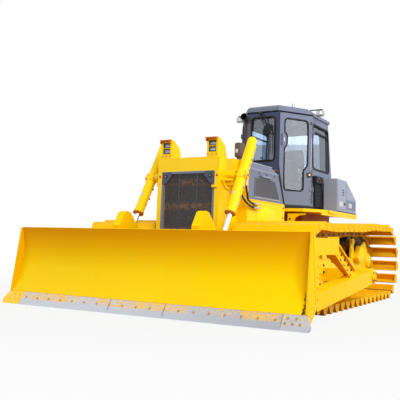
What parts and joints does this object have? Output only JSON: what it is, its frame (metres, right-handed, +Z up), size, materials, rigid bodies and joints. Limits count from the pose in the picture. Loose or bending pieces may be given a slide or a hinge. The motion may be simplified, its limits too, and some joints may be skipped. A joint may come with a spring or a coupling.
{
  "type": "bulldozer",
  "caption": "Crawler dozer with a wide straight blade on outside push arms, two lift cylinders, wide low-pressure tracks and a closed faceted cab.",
  "frame": {"origin": "on the ground under the centre of the overall box", "axes": "+X towards the machine's left, -Y towards its front, +Z up"},
  "size_m": [4.176, 5.26, 3.11],
  "materials": {
    "yellow_paint": "gloss yellow enamel",
    "grey_paint": "semi-gloss blue-grey enamel",
    "black_paint": "satin black",
    "bare_steel": "ground bare steel",
    "dark_steel": "dark steel",
    "chrome_rod": "polished chrome",
    "clear_glass": "clear glass",
    "lamp_glass": "lamp lens",
    "seat_cover": "black vinyl",
    "black_plastic": "textured black",
    "hose_rubber": "black hose",
    "intake_paint": "brown-grey"
  },
  "bodies": {
    "chassis": {"cab_glass": "clear_glass", "cab_roof": "grey_paint", "cab_shell": "grey_paint", "carrier_rollers": "dark_steel", "console": "black_plastic", "drawbar": "yellow_paint", "engine_block": "dark_steel", "equalizer_bar": "yellow_paint", "exhaust_pipe": "dark_steel", "final_drives": "yellow_paint", "front_side_boxes": "grey_paint", "fuel_tank": "grey_paint", "grille": "black_paint", "headlamp_lenses": "lamp_glass", "headlamps": "yellow_paint", "hood": "yellow_paint", "hose_lower_left": "hose_rubber", "hose_lower_right": "hose_rubber", "hose_upper_left": "hose_rubber", "hose_upper_right": "hose_rubber", "idlers": "yellow_paint", "lift_yokes": "yellow_paint", "main_frame": "yellow_paint", "platform": "yellow_paint", "precleaner": "intake_paint", "radiator_core": "dark_steel", "radiator_guard": "yellow_paint", "rear_case": "yellow_paint", "rear_side_boxes": "grey_paint", "roof_light": "lamp_glass", "seat": "seat_cover", "side_bodies": "yellow_paint", "sprockets": "yellow_paint", "step_boxes": "black_plastic", "track_frame_left": "yellow_paint", "track_frame_right": "yellow_paint", "track_left": "yellow_paint", "track_right": "yellow_paint", "track_rollers": "yellow_paint", "work_lamps": "black_plastic"},
    "blade_assembly": {"blade_back": "yellow_paint", "blade_horns": "yellow_paint", "blade_side_plates": "yellow_paint", "cutting_edge": "bare_steel", "end_bits": "yellow_paint", "moldboard": "yellow_paint", "push_arm_left": "yellow_paint", "push_arm_right": "yellow_paint", "push_brace_left": "yellow_paint", "push_brace_right": "yellow_paint"},
    "lift_cylinder_left": {"lift_barrel_left": "yellow_paint"},
    "lift_piston_left": {"lift_rod_left": "chrome_rod"},
    "cab_door_left": {"door_left": "grey_paint", "door_glass_left": "clear_glass"},
    "lift_cylinder_right": {"lift_barrel_right": "yellow_paint"},
    "lift_piston_right": {"lift_rod_right": "chrome_rod"},
    "cab_door_right": {"door_right": "grey_paint", "door_glass_right": "clear_glass"}
  },
  "joints": [
    {"name": "blade_lift", "type": "hinge", "parent": "chassis", "child": "blade_assembly", "pos_m": [0, -0.23, 0.43], "axis": [-1, 0, 0], "range_deg": [-8, 24]},
    {"name": "lift_swing_left", "type": "hinge", "parent": "chassis", "child": "lift_cylinder_left", "pos_m": [0.69, -1.525, 1.66], "axis": [-1, 0, 0], "range_deg": [-6.2, 18.2]},
    {"name": "lift_stroke_left", "type": "slide", "parent": "lift_cylinder_left", "child": "lift_piston_left", "axis": [0, 0.4607, 0.8875], "range_m": [-0.2449, 0.7308]},
    {"name": "door_left_hinge", "type": "hinge", "parent": "chassis", "child": "cab_door_left", "pos_m": [0.66906, 0.83487, 2.1], "axis": [0, 0, 1], "range_deg": [0, 165]},
    {"name": "lift_swing_right", "type": "hinge", "parent": "chassis", "child": "lift_cylinder_right", "pos_m": [-0.69, -1.525, 1.66], "axis": [-1, 0, 0], "range_deg": [-6.2, 18.2]},
    {"name": "lift_stroke_right", "type": "slide", "parent": "lift_cylinder_right", "child": "lift_piston_right", "axis": [0, 0.4607, 0.8875], "range_m": [-0.2449, 0.7308]},
    {"name": "door_right_hinge", "type": "hinge", "parent": "chassis", "child": "cab_door_right", "pos_m": [-0.66906, 0.83487, 2.1], "axis": [0, 0, -1], "range_deg": [0, 165]}
  ],
  "couplings": [
    {"joint": "lift_swing_left", "follows": "blade_lift", "ratio": 0.75},
    {"joint": "lift_stroke_left", "follows": "blade_lift", "m_per_rad": 1.74},
    {"joint": "lift_swing_right", "follows": "blade_lift", "ratio": 0.75},
    {"joint": "lift_stroke_right", "follows": "blade_lift", "m_per_rad": 1.74}
  ]
}
